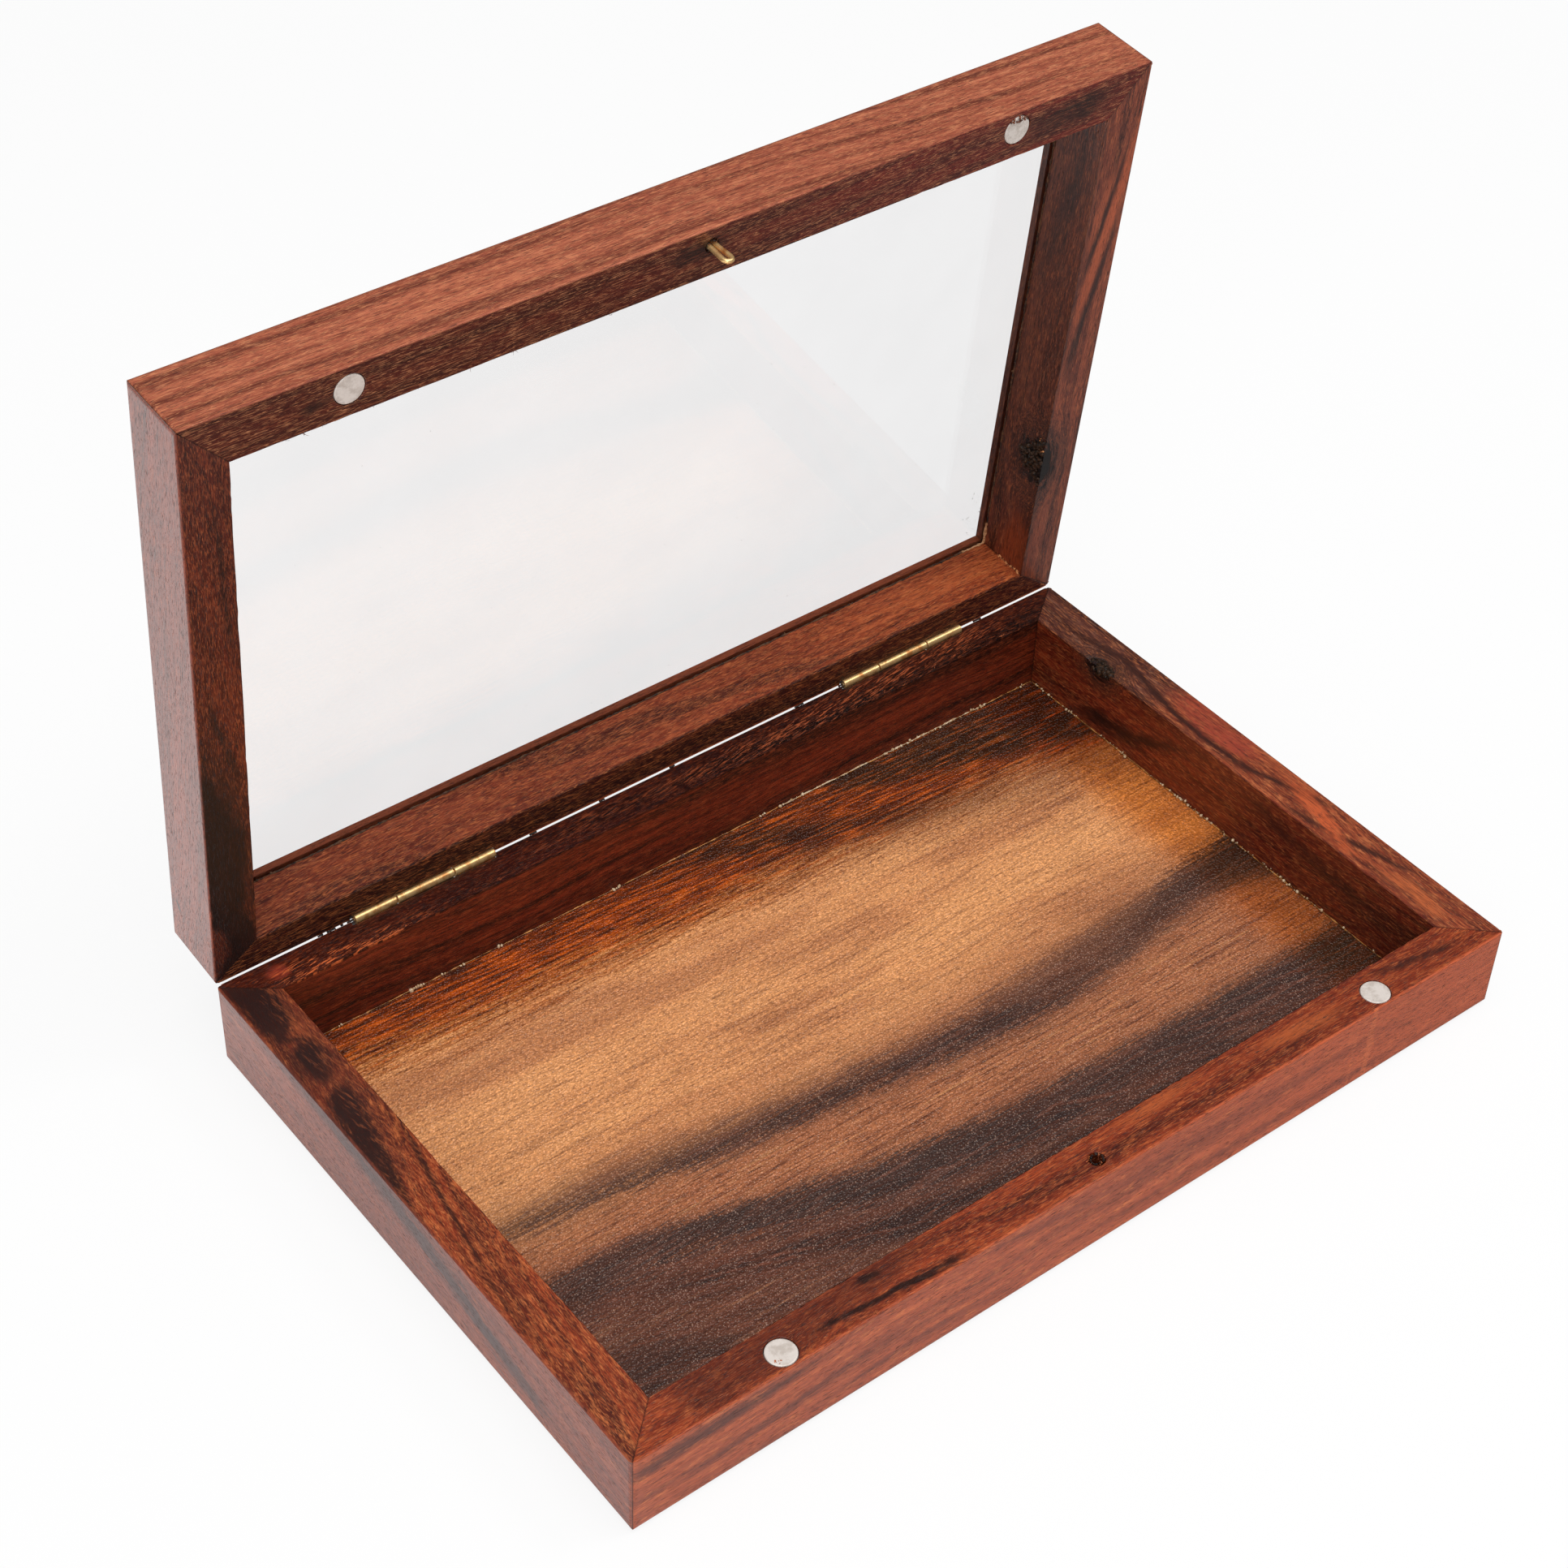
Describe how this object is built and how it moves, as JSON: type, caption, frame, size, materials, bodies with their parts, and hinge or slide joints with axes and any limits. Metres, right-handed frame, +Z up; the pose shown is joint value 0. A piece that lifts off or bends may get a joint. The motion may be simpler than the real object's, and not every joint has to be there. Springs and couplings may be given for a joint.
{
  "type": "gemstone display box",
  "caption": "Shallow hardwood display box with a glazed hinged lid, flush disc magnets and a wire catch, for showing gemstones.",
  "frame": {"origin": "centre of the underside of the base, on the floor board's lower face", "axes": "+X along the box's length to the right, +Y from the front towards the hinges, +Z up"},
  "size_m": [0.205, 0.1472, 0.1515],
  "materials": {
    "rosewood": "satin lacquer over red-brown figured wood",
    "board": "raw thin board",
    "printed_sheet": "satin pebbled wood print",
    "magnet": "matt nickel plate",
    "brass": "bright rolled brass",
    "pane": "clear float glass"
  },
  "bodies": {
    "base": {"base_front_rail": "rosewood", "base_back_rail": "rosewood", "base_left_rail": "rosewood", "base_right_rail": "rosewood", "floor_board": "board", "floor_sheet": "printed_sheet", "base_magnet_left": "magnet", "base_magnet_right": "magnet", "left_hinge_base_leaf": "brass", "left_hinge_pin": "brass", "right_hinge_base_leaf": "brass", "right_hinge_pin": "brass"},
    "lid": {"lid_front_rail": "rosewood", "lid_back_rail": "rosewood", "lid_left_rail": "rosewood", "lid_right_rail": "rosewood", "glass_pane": "pane", "lid_magnet_left": "magnet", "lid_magnet_right": "magnet", "catch_loop": "brass", "left_hinge_lid_leaf": "brass", "right_hinge_lid_leaf": "brass"}
  },
  "joints": [
    {"name": "lid_hinge", "type": "hinge", "parent": "base", "child": "lid", "pos_m": [0, 0.06585, 0.01925], "axis": [-1, 0, 0], "range_deg": [-84.8, 95.2]}
  ]
}
